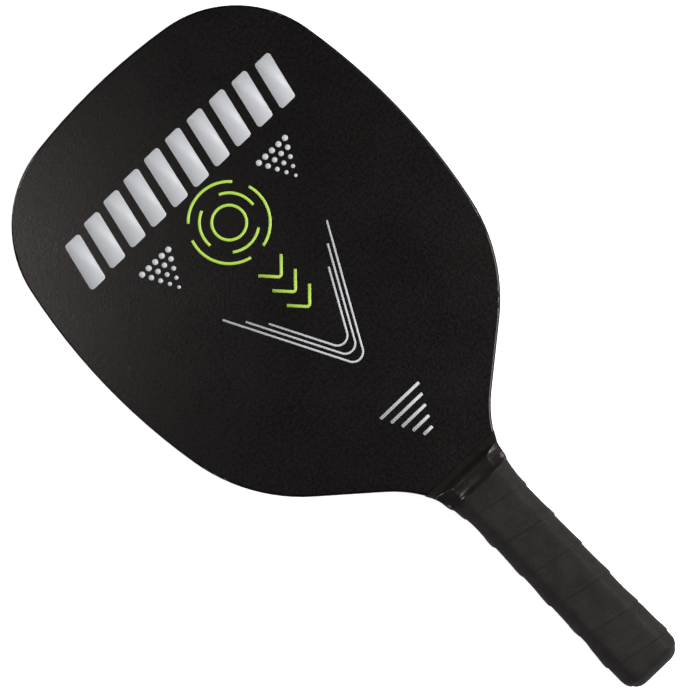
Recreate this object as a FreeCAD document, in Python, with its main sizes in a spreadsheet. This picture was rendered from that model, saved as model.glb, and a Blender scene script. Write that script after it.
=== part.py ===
import FreeCAD, Part
import Sketcher
import math
import os

# A plywood pickleball paddle.
# Frame: the origin is the centre of the butt's end face, on the blade's mid-plane. +Y runs along the
# paddle to the top of the head, +X is to the right seen from the front, and +Z leaves the front face.
# All sizes are millimetres.

SIZES = {
    # Blade outline, from the top of the head down to the handle.
    "total_length": 395.0,
    "head_width": 197.0,
    "crown_radius": 313.0,
    "corner_radius": 59.0,
    "side_radius": 309.0,
    "widest_at": 286.5,
    "shoulder_radius": 90.0,
    "shoulder_at": 246.0,
    "throat_radius": 60.0,
    "throat_at": 108.5,
    "tongue_width": 28.5,
    "neck_at": 137.0,
    # Plywood.
    "ply_thickness": 1.3,
    "edge_rounding": 1.2,
    # Handle scales, glued to both sides of the blade's tongue.
    "wood_start": 5.0,
    "scale_thickness": 6.5,
    "scale_bevel": 4.0,
    "bevel_spread": 0.8,
    "scale_front_radius": 80.0,
    "ramp_length": 3.7,
    "ramp_drop": 6.0,
    "cutter_margin": 1.0,
    # Butt cap, a cup over the end of the handle.
    "cap_length": 27.0,
    "cap_wall": 0.8,
    "cap_rounding": 6.5,
    # Grip, from the butt to the throat.
    "grip_start": 3.5,
    "grip_full_at": 8.0,
    "cap_flare_start": 28.0,
    "cap_flare_end": 33.0,
    "grip_end": 127.0,
    "foam_thickness": 1.1,
    "skin_thickness": 0.85,
    "cap_flare": 0.65,
    "foam_tuck": 1.35,
    "skin_tuck": 1.85,
    "strip_width": 15.0,
    "strip_thickness": 0.15,
    "strip_start": 30.0,
    "strip_end": 124.0,
    # Finishing tape over the grip's end and the front of the scales.
    "collar_start": 125.8,
    "collar_step_start": 127.3,
    "collar_step_end": 129.3,
    "collar_shoulder": 134.7,
    "collar_toe": 137.3,
    "collar_end": 140.0,
    "collar_thickness": 0.25,
    "collar_toe_bevel": 1.0,
    "collar_end_bevel": 0.6,
    # Staples.
    "staple_crown": 10.0,
    "staple_wire": 0.6,
    "staple_leg": 5.0,
    "cap_staple_at": 20.0,
    "grip_staple_at": 12.0,
}

PLIES = [
    "back_face_ply",
    "back_cross_ply",
    "back_long_ply",
    "centre_cross_ply",
    "front_long_ply",
    "front_cross_ply",
    "front_face_ply",
]

CAP_ROUND_STEPS = 5
THROAT_STEPS = (0.3, 0.57, 0.8, 1.0)
CLOSE = 0.01
ORIGIN = (-1, 1)
HORIZONTAL_AXIS = -1
VERTICAL_AXIS = -2
FRONT = 1
BACK = -1

HALF_BLADE = "ply_thickness * 3.5"
HALF_WIDTH = "tongue_width / 2"
HALF_HEIGHT = "ply_thickness * 3.5 + scale_thickness"
THROAT_OUT = "tongue_width / 2 + throat_radius"
FLARE = "throat_radius - sqrt( throat_radius ^ 2 - ( {at} - throat_at ) ^ 2 )"

doc = FreeCAD.newDocument("paddle")


def fill_sheet():
    """Put every driving dimension in a cell of its own, with its name as the alias."""
    sheet = doc.addObject("Spreadsheet::Sheet", "sizes")
    for row, (alias, value) in enumerate(SIZES.items(), start=1):
        sheet.set("A%d" % row, alias.replace("_", " "))
        sheet.set("B%d" % row, str(value))
        sheet.setAlias("B%d" % row, alias)
    doc.recompute()
    return sheet


def cell(text):
    """Turn an expression in plain names into one that reads the sheet's cells."""
    words = text.replace("(", "( ").replace(")", " )").split()
    return " ".join("sizes." + word if word in SIZES else word for word in words)


def vector(point):
    return FreeCAD.Vector(point[0], point[1], 0)


def step_towards(start, towards, length):
    """The point at a length from start, in the direction of another point."""
    span = math.dist(start, towards)
    return tuple(a + (b - a) * length / span for a, b in zip(start, towards))


def mirrored(point):
    return (-point[0], point[1])


# ---------------------------------------------------------------- sketch helpers


def new_sketch(body, name, plane, offset):
    """A sketch on one of the body's own origin planes, moved along that plane's normal."""
    sketch = body.newObject("Sketcher::SketchObject", name)
    base = next(item for item in body.Origin.OriginFeatures if item.Role == plane)
    sketch.AttachmentSupport = [(base, "")]
    sketch.MapMode = "FlatFace"
    sketch.setExpression("AttachmentOffset.Base.z", cell(offset))
    return sketch


def add_line(sketch, start, end):
    return sketch.addGeometry(Part.LineSegment(vector(start), vector(end)), False)


def add_arc(sketch, centre, start, end):
    """An arc that runs anticlockwise from start to end."""
    circle = Part.Circle(vector(centre), FreeCAD.Vector(0, 0, 1), math.dist(centre, start))
    first = math.atan2(start[1] - centre[1], start[0] - centre[0])
    last = math.atan2(end[1] - centre[1], end[0] - centre[0])
    if last < first:
        last += 2 * math.pi
    return sketch.addGeometry(Part.ArcOfCircle(circle, first, last), False)


def join(sketch, kind, *points):
    sketch.addConstraint(Sketcher.Constraint(kind, *[number for point in points for number in point]))


def dimension(sketch, kind, name, expression, *points):
    """A dimension that starts at the drawn size and then follows the sheet."""
    if kind == "Radius":
        start_value = sketch.Geometry[points[0][0]].Radius
    else:
        start, end = (sketch.getPoint(*point) for point in points)
        start_value = end.x - start.x if kind == "DistanceX" else end.y - start.y
    references = [number for point in points for number in point]
    index = sketch.addConstraint(Sketcher.Constraint(kind, *references, start_value))
    sketch.renameConstraint(index, name)
    sketch.setExpression("Constraints." + name, cell(expression))


def add_feature(body, kind, name, **settings):
    """Add a feature to a body, set plain values, and bind those given as expressions."""
    feature = body.newObject("PartDesign::" + kind, name)
    for key, value in settings.items():
        if isinstance(value, str):
            feature.setExpression(key, cell(value))
        else:
            setattr(feature, key, value)
    return feature


def new_body(name):
    body = doc.addObject("PartDesign::Body", name)
    body.Label = name
    return body


def pad(body, sketch, name, length, **settings):
    feature = add_feature(body, "Pad", name, Profile=sketch, Length=length, **settings)
    sketch.Visibility = False
    return feature


def cut_pocket(body, sketch, name, **settings):
    """Cut a pocket, and stop if it removed nothing."""
    doc.recompute()
    before = body.Shape.Volume
    feature = add_feature(body, "Pocket", name, Profile=sketch, **settings)
    doc.recompute()
    if body.Shape.Volume > before - 0.1:
        raise RuntimeError(name + " cuts nothing")
    return feature


def edges_where(shape, wanted):
    """Names of the edges whose ends and middle all pass a test."""
    names = []
    for number, edge in enumerate(shape.Edges, start=1):
        middle = edge.valueAt((edge.FirstParameter + edge.LastParameter) / 2)
        if all(wanted(point) for point in [vertex.Point for vertex in edge.Vertexes] + [middle]):
            names.append("Edge%d" % number)
    return names


# ---------------------------------------------------------------- outlines


def outline_points():
    """Centres and junctions of the right half of the blade's outline."""
    crown = (0.0, SIZES["total_length"] - SIZES["crown_radius"])
    side = (SIZES["head_width"] / 2 - SIZES["side_radius"], SIZES["widest_at"])
    throat = (SIZES["tongue_width"] / 2 + SIZES["throat_radius"], SIZES["throat_at"])

    # The corner circle touches both the crown's circle and the side's circle from inside.
    span = math.dist(side, crown)
    from_side = SIZES["side_radius"] - SIZES["corner_radius"]
    from_crown = SIZES["crown_radius"] - SIZES["corner_radius"]
    along = (from_side ** 2 - from_crown ** 2 + span ** 2) / (2 * span)
    across = math.sqrt(from_side ** 2 - along ** 2)
    unit = ((crown[0] - side[0]) / span, (crown[1] - side[1]) / span)
    corner = (
        side[0] + unit[0] * along - unit[1] * across,
        side[1] + unit[1] * along + unit[0] * across,
    )

    reach = SIZES["side_radius"] - SIZES["shoulder_radius"]
    rise = SIZES["shoulder_at"] - SIZES["widest_at"]
    shoulder = (side[0] + math.sqrt(reach ** 2 - rise ** 2), SIZES["shoulder_at"])

    # The straight flank is the inner tangent of the shoulder's and the throat's circles.
    gap = (throat[0] - shoulder[0], throat[1] - shoulder[1])
    heading = math.atan2(gap[0], gap[1])
    turn = math.acos((SIZES["shoulder_radius"] + SIZES["throat_radius"]) / math.hypot(*gap))
    normal = (math.sin(heading - turn), math.cos(heading - turn))

    neck_rise = SIZES["neck_at"] - SIZES["throat_at"]
    neck = (throat[0] - math.sqrt(SIZES["throat_radius"] ** 2 - neck_rise ** 2), SIZES["neck_at"])
    return {
        "crown": crown,
        "side": side,
        "corner": corner,
        "shoulder": shoulder,
        "throat": throat,
        "crown_corner": step_towards(crown, corner, SIZES["crown_radius"]),
        "corner_side": step_towards(side, corner, SIZES["side_radius"]),
        "side_shoulder": step_towards(side, shoulder, SIZES["side_radius"]),
        "shoulder_flank": tuple(c + SIZES["shoulder_radius"] * n for c, n in zip(shoulder, normal)),
        "flank_throat": tuple(c - SIZES["throat_radius"] * n for c, n in zip(throat, normal)),
        "neck": neck,
    }


def head_outline(body, offset):
    """The head, from its crown down to a straight line across the neck."""
    sketch = new_sketch(body, "head_outline", "XY_Plane", offset)
    at = outline_points()
    flip = {name: mirrored(point) for name, point in at.items()}

    crown = add_arc(sketch, at["crown"], at["crown_corner"], flip["crown_corner"])
    # Each entry holds a curve, its end nearer the crown and its end nearer the handle.
    right = [
        (add_arc(sketch, at["corner"], at["corner_side"], at["crown_corner"]), 2, 1),
        (add_arc(sketch, at["side"], at["side_shoulder"], at["corner_side"]), 2, 1),
        (add_arc(sketch, at["shoulder"], at["shoulder_flank"], at["side_shoulder"]), 2, 1),
        (add_line(sketch, at["shoulder_flank"], at["flank_throat"]), 1, 2),
        (add_arc(sketch, at["throat"], at["flank_throat"], at["neck"]), 1, 2),
    ]
    left = [
        (add_arc(sketch, flip["corner"], flip["crown_corner"], flip["corner_side"]), 1, 2),
        (add_arc(sketch, flip["side"], flip["corner_side"], flip["side_shoulder"]), 1, 2),
        (add_arc(sketch, flip["shoulder"], flip["side_shoulder"], flip["shoulder_flank"]), 1, 2),
        (add_line(sketch, flip["shoulder_flank"], flip["flank_throat"]), 1, 2),
        (add_arc(sketch, flip["throat"], flip["neck"], flip["flank_throat"]), 2, 1),
    ]
    base = add_line(sketch, at["neck"], flip["neck"])

    join(sketch, "Tangent", (crown, 1), (right[0][0], right[0][1]))
    join(sketch, "Coincident", (crown, 2), (left[0][0], left[0][1]))
    for upper, lower in zip(right, right[1:]):
        join(sketch, "Tangent", (upper[0], upper[2]), (lower[0], lower[1]))
    for upper, lower in zip(left, left[1:]):
        join(sketch, "Coincident", (upper[0], upper[2]), (lower[0], lower[1]))
    join(sketch, "Coincident", (right[-1][0], right[-1][2]), (base, 1))
    join(sketch, "Coincident", (left[-1][0], left[-1][2]), (base, 2))
    join(sketch, "PointOnObject", (crown, 3), (VERTICAL_AXIS,))
    join(sketch, "Symmetric", (crown, 1), (crown, 2), (VERTICAL_AXIS,))
    for this, other in zip(right, left):
        join(sketch, "Symmetric", (this[0], this[2]), (other[0], other[2]), (VERTICAL_AXIS,))
        if type(sketch.Geometry[this[0]]) is Part.ArcOfCircle:
            join(sketch, "Equal", (this[0],), (other[0],))

    corner, side, shoulder, _, throat = (curve[0] for curve in right)
    radii = {"crown": crown, "corner": corner, "side": side, "shoulder": shoulder, "throat": throat}
    for name, curve in radii.items():
        dimension(sketch, "Radius", name + "_radius", name + "_radius", (curve,))
    dimension(sketch, "DistanceY", "crown_at", "total_length - crown_radius", ORIGIN, (crown, 3))
    dimension(sketch, "DistanceX", "side_in", "side_radius - head_width / 2", (side, 3), ORIGIN)
    dimension(sketch, "DistanceY", "widest_at", "widest_at", ORIGIN, (side, 3))
    dimension(sketch, "DistanceY", "shoulder_at", "shoulder_at", ORIGIN, (shoulder, 3))
    dimension(sketch, "DistanceX", "throat_out", THROAT_OUT, ORIGIN, (throat, 3))
    dimension(sketch, "DistanceY", "throat_at", "throat_at", ORIGIN, (throat, 3))
    dimension(sketch, "DistanceY", "neck_at", "neck_at", ORIGIN, (throat, 2))
    return sketch


def neck_outline(body, offset, curved_front=False):
    """The tongue that carries the grip, from the butt up to the neck.

    Its front is a straight line across the blade, or the convex arc of a handle scale.
    """
    sketch = new_sketch(body, "neck_outline", "XY_Plane", offset)
    half = SIZES["tongue_width"] / 2
    at = outline_points()
    tangent = (half, SIZES["throat_at"])
    butt = (half, SIZES["wood_start"])
    bow_centre = (0.0, SIZES["neck_at"] - SIZES["scale_front_radius"])

    base = add_line(sketch, mirrored(butt), butt)
    right_side = add_line(sketch, butt, tangent)
    right_throat = add_arc(sketch, at["throat"], at["neck"], tangent)
    left_throat = add_arc(sketch, mirrored(at["throat"]), mirrored(tangent), mirrored(at["neck"]))
    left_side = add_line(sketch, mirrored(tangent), mirrored(butt))
    if curved_front:
        front = add_arc(sketch, bow_centre, at["neck"], mirrored(at["neck"]))
    else:
        front = add_line(sketch, at["neck"], mirrored(at["neck"]))

    join(sketch, "Coincident", (base, 2), (right_side, 1))
    join(sketch, "Coincident", (base, 1), (left_side, 2))
    join(sketch, "Tangent", (right_side, 2), (right_throat, 2))
    join(sketch, "Coincident", (left_side, 1), (left_throat, 1))
    join(sketch, "Coincident", (right_throat, 1), (front, 1))
    join(sketch, "Coincident", (left_throat, 2), (front, 2))
    join(sketch, "Vertical", (right_side,))
    join(sketch, "Symmetric", (right_side, 1), (left_side, 2), (VERTICAL_AXIS,))
    join(sketch, "Symmetric", (right_side, 2), (left_side, 1), (VERTICAL_AXIS,))
    join(sketch, "Symmetric", (front, 1), (front, 2), (VERTICAL_AXIS,))
    join(sketch, "Equal", (right_throat,), (left_throat,))

    dimension(sketch, "Radius", "throat_radius", "throat_radius", (right_throat,))
    dimension(sketch, "DistanceX", "throat_out", THROAT_OUT, ORIGIN, (right_throat, 3))
    dimension(sketch, "DistanceY", "throat_at", "throat_at", ORIGIN, (right_throat, 3))
    dimension(sketch, "DistanceY", "wood_start", "wood_start", ORIGIN, (right_side, 1))
    if curved_front:
        dimension(sketch, "Radius", "front_radius", "scale_front_radius", (front,))
        dimension(sketch, "DistanceY", "front_at", "neck_at - scale_front_radius", ORIGIN, (front, 3))
    else:
        dimension(sketch, "DistanceY", "neck_at", "neck_at", ORIGIN, (right_throat, 1))
    return sketch


def octagon(body, name, at, half_width, half_height, bevel_across, bevel_down):
    """A handle section: a rectangle with its four corners bevelled, square to the paddle's length."""
    sketch = new_sketch(body, name, "XZ_Plane", "-(%s)" % at)
    wide, leg = SIZES["tongue_width"] / 2, SIZES["scale_bevel"]
    tall = len(PLIES) * SIZES["ply_thickness"] / 2 + SIZES["scale_thickness"]
    quarter = [(wide, leg - tall), (wide, tall - leg), (wide - leg, tall)]
    points = quarter + [mirrored(quarter[2]), mirrored(quarter[1]), mirrored(quarter[0])]
    points += [(leg - wide, -tall), (wide - leg, -tall)]
    lines = [add_line(sketch, start, end) for start, end in zip(points, points[1:] + points[:1])]
    right, top, left, low = lines[::2]

    for line, after in zip(lines, lines[1:] + lines[:1]):
        join(sketch, "Coincident", (line, 2), (after, 1))
    join(sketch, "Symmetric", (right, 1), (left, 2), (VERTICAL_AXIS,))
    join(sketch, "Symmetric", (right, 2), (left, 1), (VERTICAL_AXIS,))
    join(sketch, "Symmetric", (top, 1), (top, 2), (VERTICAL_AXIS,))
    join(sketch, "Symmetric", (low, 2), (low, 1), (VERTICAL_AXIS,))
    join(sketch, "Symmetric", (right, 2), (right, 1), (HORIZONTAL_AXIS,))
    join(sketch, "Symmetric", (top, 1), (low, 2), (HORIZONTAL_AXIS,))
    dimension(sketch, "DistanceX", "half_width", half_width, ORIGIN, (right, 2))
    dimension(sketch, "DistanceY", "half_height", half_height, ORIGIN, (top, 1))
    dimension(sketch, "DistanceX", "bevel_across", bevel_across, (top, 1), (right, 2))
    dimension(sketch, "DistanceY", "bevel_down", bevel_down, (right, 2), (top, 1))
    return sketch


def lofted_envelope(name, stations):
    """A solid through handle sections, with straight lines from each to the next."""
    body = new_body(name)
    sections = [octagon(body, "section_%d" % number, *station) for number, station in enumerate(stations)]
    doc.recompute()
    add_feature(body, "AdditiveLoft", "loft", Profile=sections[0], Sections=sections[1:], Ruled=True)
    return body


def plus(*terms):
    return " + ".join("( %s )" % term for term in terms)


def flare_at(at):
    """How much wider than the tongue the throat is, at a place along the paddle."""
    return FLARE.format(at="( %s )" % at)


def section(at, out, up=None, flared=False):
    """A section that stands out from the wood: its place, half width, half height and bevels.

    The bevels reach further in where the handle flares, so that the front flat stays nearly as wide.
    """
    flare = flare_at(at) if flared else "0"
    bevel = "scale_bevel + ( %s ) * ( 2 - sqrt( 2 ) )" % out
    spread = "bevel_spread * ( %s )" % flare
    return at, plus(HALF_WIDTH, flare, out), plus(HALF_HEIGHT, up or out), plus(bevel, spread), bevel


def throat_places():
    """Places up the throat to the grip's end."""
    return ["throat_at + ( grip_end - throat_at ) * %.2f" % share for share in THROAT_STEPS]


# ---------------------------------------------------------------- wooden pieces


def make_ply(name, number):
    """One sheet of the blade; the two outer ones are rounded along the head's edge."""
    body = new_body(name)
    offset = "ply_thickness * %.1f" % (number - 3.5)
    head = pad(body, head_outline(body, offset), "head", "ply_thickness")
    if number in (0, len(PLIES) - 1):
        doc.recompute()
        bounds = head.Shape.BoundBox
        outside = bounds.ZMin if number == 0 else bounds.ZMax
        rim = edges_where(head.Shape, lambda point: abs(point.z - outside) < CLOSE)
        across = edges_where(head.Shape, lambda point: abs(point.y - SIZES["neck_at"]) < CLOSE)
        rim = [edge for edge in rim if edge not in across]
        add_feature(body, "Fillet", "rounded_edge", Base=(head, rim), Radius="edge_rounding")
    pad(body, neck_outline(body, offset), "neck", "ply_thickness")
    return body


def outward(side):
    """Order the ends of a dimension that runs out of the front, or out of the back."""
    return lambda low, high: (low, high) if side == FRONT else (high, low)


def leg_holes(body, name, at, direction, from_height, depth):
    """Two square holes that a staple's legs fill."""
    sketch = new_sketch(body, name + "_outline", "XY_Plane", from_height)
    half_wire = SIZES["staple_wire"] / 2
    reach = SIZES["staple_crown"] / 2 - half_wire
    for side, word in ((-1, "left"), (1, "right")):
        low = (side * reach - half_wire, SIZES[at] - half_wire)
        high = (side * reach + half_wire, SIZES[at] + half_wire)
        corners = [low, (high[0], low[1]), high, (low[0], high[1])]
        lines = [add_line(sketch, start, end) for start, end in zip(corners, corners[1:] + corners[:1])]
        for line, after in zip(lines, lines[1:] + lines[:1]):
            join(sketch, "Coincident", (line, 2), (after, 1))
        for line, kind in zip(lines, ("Horizontal", "Vertical", "Horizontal", "Vertical")):
            join(sketch, kind, (line,))
        outer = (lines[0], 2) if side > 0 else (lines[0], 1)
        ends = (ORIGIN, outer) if side > 0 else (outer, ORIGIN)
        dimension(sketch, "DistanceX", word + "_out", "staple_crown / 2", *ends)
        dimension(sketch, "DistanceX", word + "_wide", "staple_wire", (lines[0], 1), (lines[0], 2))
        dimension(sketch, "DistanceY", word + "_deep", "staple_wire", (lines[1], 1), (lines[1], 2))
        dimension(sketch, "DistanceY", word + "_at", at + " - staple_wire / 2", ORIGIN, (lines[0], 1))
    cut_pocket(body, sketch, name, Length=depth, Reversed=direction == BACK)


def ramp_wedge(body, side):
    """The wedge above a scale's ramp, seen along the paddle's width."""
    sketch = new_sketch(body, "ramp_wedge", "YZ_Plane", "0")
    crest = SIZES["neck_at"] - SIZES["ramp_length"]
    run, fall = 2 * SIZES["ramp_length"], 2 * SIZES["ramp_drop"]
    top = side * (len(PLIES) * SIZES["ply_thickness"] / 2 + SIZES["scale_thickness"])
    points = [(crest, top), (crest + run, top - side * fall), (crest + run, top)]
    slope, front, surface = (add_line(sketch, *ends) for ends in zip(points, points[1:] + points[:1]))
    join(sketch, "Coincident", (slope, 2), (front, 1))
    join(sketch, "Coincident", (front, 2), (surface, 1))
    join(sketch, "Coincident", (surface, 2), (slope, 1))
    join(sketch, "Vertical", (front,))
    join(sketch, "Horizontal", (surface,))
    upward = outward(side)
    dimension(sketch, "DistanceX", "crest", "neck_at - ramp_length", ORIGIN, (slope, 1))
    dimension(sketch, "DistanceX", "run", "2 * ramp_length", (slope, 1), (slope, 2))
    dimension(sketch, "DistanceY", "surface", HALF_HEIGHT, *upward(ORIGIN, (slope, 1)))
    dimension(sketch, "DistanceY", "fall", "2 * ramp_drop", *upward((slope, 2), (slope, 1)))
    return sketch


def bevel_stations():
    """Sections of the tool that bevels the scales, clear of them on every side."""
    places = [("wood_start - cutter_margin", False), ("throat_at", False)]
    places += [(at, True) for at in throat_places() + ["neck_at - ramp_length", "neck_at + cutter_margin"]]
    stations = []
    for at, flared in places:
        _, half_width, half_height, across, down = section(at, "0", flared=flared)
        stations.append((
            at,
            plus(half_width, "cutter_margin"),
            plus(half_height, "cutter_margin"),
            plus("( %s ) * ( 1 + cutter_margin / ( %s ) )" % (across, down), "cutter_margin"),
            plus("( %s ) * ( 1 + cutter_margin / ( %s ) )" % (down, across), "cutter_margin"),
        ))
    return stations


def make_scale(name, side, bevels):
    """A handle scale: bowed at its front, ramped down to the blade and bevelled along its sides."""
    body = new_body(name + "_block")
    outline = neck_outline(body, "%d * ( %s )" % (side, HALF_BLADE), curved_front=True)
    pad(body, outline, "block", "scale_thickness", Reversed=side == BACK)
    cut_pocket(body, ramp_wedge(body, side), "ramp", Length="2 * tongue_width", Midplane=True)
    surface = "%d * ( %s )" % (side, HALF_HEIGHT)
    leg_holes(body, "cap_staple_holes", "cap_staple_at", side, surface, "staple_leg - cap_wall")
    if side == BACK:
        leg_holes(body, "grip_staple_holes", "grip_staple_at", side, surface, "staple_leg - cap_wall")
    scale = doc.addObject("Part::Common", name)
    scale.Label = name
    scale.Base = body
    scale.Tool = bevels
    return scale


# ---------------------------------------------------------------- butt cap and staples


def cap_stations():
    """Sections of the cap's outside: a quarter round at its closed end, then straight."""
    stations = []
    for number in range(CAP_ROUND_STEPS + 1):
        turn = math.radians(90 * number / CAP_ROUND_STEPS)
        wall = "cap_wall - cap_rounding * %.4f" % (1 - math.sin(turn))
        stations.append(section("( cap_rounding * %.4f )" % (1 - math.cos(turn)), wall))
    return stations + [("cap_length", *stations[-1][1:])]


def make_butt_cap():
    """A moulded cup over the end of the handle, with its closed end rounded."""
    body = lofted_envelope("butt_cap", cap_stations())
    inner = octagon(body, "inner", *section("wood_start", "0"))
    cut_pocket(body, inner, "socket", Length="cap_length - wood_start")
    for side, at in ((FRONT, "cap_staple_at"), (BACK, "cap_staple_at"), (BACK, "grip_staple_at")):
        name = "%s_%s_holes" % ("front" if side == FRONT else "back", at)
        surface = "%d * ( %s + cap_wall )" % (side, HALF_HEIGHT)
        leg_holes(body, name, at, side, surface, "cap_wall")
    return body


def make_staple(name, at, side):
    """A square-wire staple: its crown lies on the cap and its legs go into the wood."""
    body = new_body(name)
    sketch = new_sketch(body, "profile", "XZ_Plane", "-( %s )" % at)
    crown_top = "%s + cap_wall + staple_wire" % HALF_HEIGHT
    reach, wire = SIZES["staple_crown"] / 2, SIZES["staple_wire"]
    seat = len(PLIES) * SIZES["ply_thickness"] / 2 + SIZES["scale_thickness"] + SIZES["cap_wall"]
    foot = seat - SIZES["staple_leg"]
    right = [(reach - wire, seat), (reach - wire, foot), (reach, foot), (reach, seat + wire)]
    points = [(x, side * z) for x, z in right + [mirrored(point) for point in reversed(right)]]
    lines = [add_line(sketch, start, end) for start, end in zip(points, points[1:] + points[:1])]
    for line, after in zip(lines, lines[1:] + lines[:1]):
        join(sketch, "Coincident", (line, 2), (after, 1))
    inner, foot_right, outer, top = lines[:4]
    outer_left, foot_left, inner_left, seat_line = lines[4:]
    for line in (inner, outer, outer_left, inner_left):
        join(sketch, "Vertical", (line,))
    for line in (foot_right, foot_left):
        join(sketch, "Horizontal", (line,))
    join(sketch, "Symmetric", (top, 1), (top, 2), (VERTICAL_AXIS,))
    join(sketch, "Symmetric", (seat_line, 1), (seat_line, 2), (VERTICAL_AXIS,))
    join(sketch, "PointOnObject", (foot_left, 1), (foot_right,))
    upward = outward(side)
    dimension(sketch, "DistanceX", "reach", "staple_crown / 2", ORIGIN, (outer, 1))
    dimension(sketch, "DistanceX", "wire", "staple_wire", (inner, 1), (outer, 1))
    dimension(sketch, "DistanceY", "top", crown_top, *upward(ORIGIN, (top, 1)))
    dimension(sketch, "DistanceY", "crown", "staple_wire", *upward((inner, 1), (top, 1)))
    dimension(sketch, "DistanceY", "leg", "staple_leg", *upward((inner, 2), (inner, 1)))
    pad(body, sketch, "wire", "staple_wire", Midplane=True)
    return body


# ---------------------------------------------------------------- grip and tape


def grip_stations(offset, tuck):
    """Sections of the grip at a distance out from the wood: drawn in at the butt, proud of the cap,
    straight along the handle and flared into the throat."""
    over_cap = offset + " + cap_flare"
    stations = [
        section("grip_start", over_cap + " - " + tuck),
        section("grip_full_at", over_cap),
        section("cap_flare_start", over_cap),
        section("cap_flare_end", offset),
        section("throat_at", offset),
    ]
    return stations + [section(at, offset, flared=True) for at in throat_places()]


def collar_stations():
    """Sections of the finishing tape: over the grip's end, down to the scales, over their crest,
    down the ramps past the ends of their bowed fronts and onto the blade."""
    on_grip = "foam_thickness + skin_thickness + collar_thickness"
    crest = "neck_at - ramp_length"
    stations = [
        section("collar_start", on_grip, flared=True),
        section("collar_step_start", on_grip, flared=True),
        section("collar_step_end", "2 * collar_thickness", flared=True),
        section(crest, "1.4 * collar_thickness", "1.2 * collar_thickness", flared=True),
    ]
    fallen = "( collar_shoulder - ( %s ) ) * ramp_drop / ramp_length" % crest
    left = "( 1 - %s / scale_bevel )" % fallen
    ramp = "( %s ) - %s" % (HALF_HEIGHT, fallen)
    shoulder = section("collar_shoulder", "1.4 * collar_thickness", flared=True)
    ramp_bevels = [left + " * ( %s )" % bevel for bevel in shoulder[-2:]]
    over_toe = "1.4 * collar_thickness"
    for at, out, height, up, bevels in (
        ("collar_shoulder", over_toe, ramp, "1.4 * collar_thickness", ramp_bevels),
        ("collar_toe", over_toe, HALF_BLADE, "3 * collar_thickness", ["collar_toe_bevel"] * 2),
        ("collar_end", "collar_thickness", HALF_BLADE, "collar_thickness", ["collar_end_bevel"] * 2),
    ):
        stations.append((at, plus(HALF_WIDTH, flare_at(at), out), plus(height, up), *bevels))
    return stations


def make_adhesive_strip(name, side):
    """Double-sided tape on a scale's flat, under the grip."""
    strip = doc.addObject("Part::Box", name)
    strip.Label = name
    low = HALF_HEIGHT if side == FRONT else "-( %s ) - strip_thickness" % HALF_HEIGHT
    bindings = {
        "Length": "strip_width",
        "Width": "strip_end - strip_start",
        "Height": "strip_thickness",
        "Placement.Base.x": "-1 * strip_width / 2",
        "Placement.Base.y": "strip_start",
        "Placement.Base.z": low,
    }
    for key, expression in bindings.items():
        strip.setExpression(key, cell(expression))
    return strip


def fused(name, pieces):
    """The space that a group of pieces fills."""
    fuse = doc.addObject("Part::MultiFuse", name)
    fuse.Shapes = pieces
    return fuse


def make_cut(name, envelope, filled):
    """A soft layer: its outer shape less everything that lies inside it."""
    layer = doc.addObject("Part::Cut", name)
    layer.Label = name
    layer.Base = envelope
    layer.Tool = filled
    return layer


def make_paddle():
    """Build every piece of the paddle and return them in the order of assembly."""
    plies = [make_ply(name, number) for number, name in enumerate(PLIES)]
    bevels = lofted_envelope("scale_bevels", bevel_stations())
    scales = [make_scale("front_scale", FRONT, bevels), make_scale("back_scale", BACK, bevels)]
    cap = make_butt_cap()

    front_staple = make_staple("front_cap_staple", "cap_staple_at", FRONT)
    back_staple = make_staple("back_cap_staple", "cap_staple_at", BACK)
    cap_staples = doc.addObject("Part::Compound", "cap_staples")
    cap_staples.Label = "cap_staples"
    cap_staples.Links = [front_staple, back_staple]
    grip_staple = make_staple("grip_start_staple", "grip_staple_at", BACK)

    strips = [
        make_adhesive_strip("front_adhesive_strip", FRONT),
        make_adhesive_strip("back_adhesive_strip", BACK),
    ]
    foam_envelope = lofted_envelope("foam_envelope", grip_stations("foam_thickness", "foam_tuck"))
    skin_offset = "foam_thickness + skin_thickness"
    skin_envelope = lofted_envelope("skin_envelope", grip_stations(skin_offset, "skin_tuck"))
    collar_envelope = lofted_envelope("collar_envelope", collar_stations())

    wood = plies + scales
    under_foam = fused("under_foam", wood + [cap, front_staple, back_staple, grip_staple] + strips)
    foam = make_cut("grip_foam_backing", foam_envelope, under_foam)
    under_skin = fused("under_skin", [foam_envelope, cap])
    skin = make_cut("grip_skin", skin_envelope, under_skin)
    under_collar = fused("under_collar", wood + [skin_envelope])
    collar = make_cut("collar_tape", collar_envelope, under_collar)
    return wood + [cap, cap_staples, grip_staple] + strips + [foam, skin, collar]


def export(pieces):
    """Check every object and every piece, then write one STEP file for each piece."""
    doc.recompute()
    failed = [item.Name for item in doc.Objects if "Invalid" in item.State or "Error" in item.State]
    if failed:
        raise RuntimeError("failed objects: " + ", ".join(failed))
    for piece in pieces:
        if piece.Shape.isNull() or not piece.Shape.isValid() or not piece.Shape.Solids:
            raise RuntimeError(piece.Label + " has no valid solid")
    os.makedirs("parts", exist_ok=True)
    for piece in pieces:
        piece.Shape.exportStep("parts/%s.step" % piece.Label)
        print(piece.Label, len(piece.Shape.Solids), "solid(s)", round(piece.Shape.Volume, 1), "mm3")


fill_sheet()
export(make_paddle())
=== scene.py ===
import math

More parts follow.
